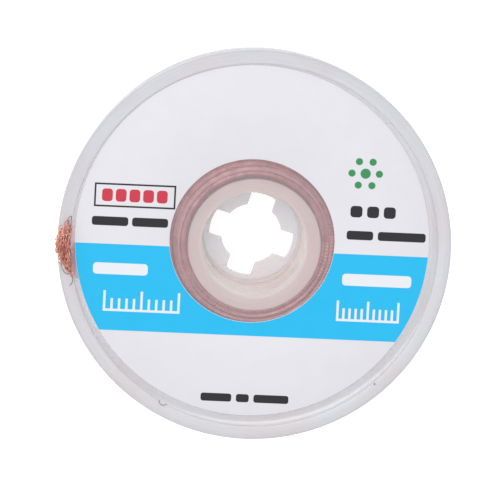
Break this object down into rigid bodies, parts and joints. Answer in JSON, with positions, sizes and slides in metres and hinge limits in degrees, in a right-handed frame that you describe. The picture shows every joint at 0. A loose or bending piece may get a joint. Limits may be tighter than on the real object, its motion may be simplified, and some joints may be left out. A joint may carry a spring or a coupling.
{
  "type": "desoldering braid",
  "caption": "Flat copper desoldering braid wound on a flanged plastic bobbin, its frayed end led out of a notch in the raised rim, with a round paper label on the front flange.",
  "frame": {"origin": "on the bobbin's axis, in the plane of the boss behind the back flange that it lies on", "axes": "+Z along the bobbin's axis towards the label, +X the way the label's print reads, +Y up the label"},
  "size_m": [0.0464, 0.046, 0.0104],
  "materials": {
    "frosted_plastic": "frosted, see-through polypropylene as moulded",
    "copper": null,
    "label_paper": "smooth coated white paper with a plain blue printed band"
  },
  "bodies": {
    "root": {"bobbin_front": "frosted_plastic", "bobbin_back": "frosted_plastic", "copper_braid": "copper", "label": "label_paper"}
  },
  "joints": []
}
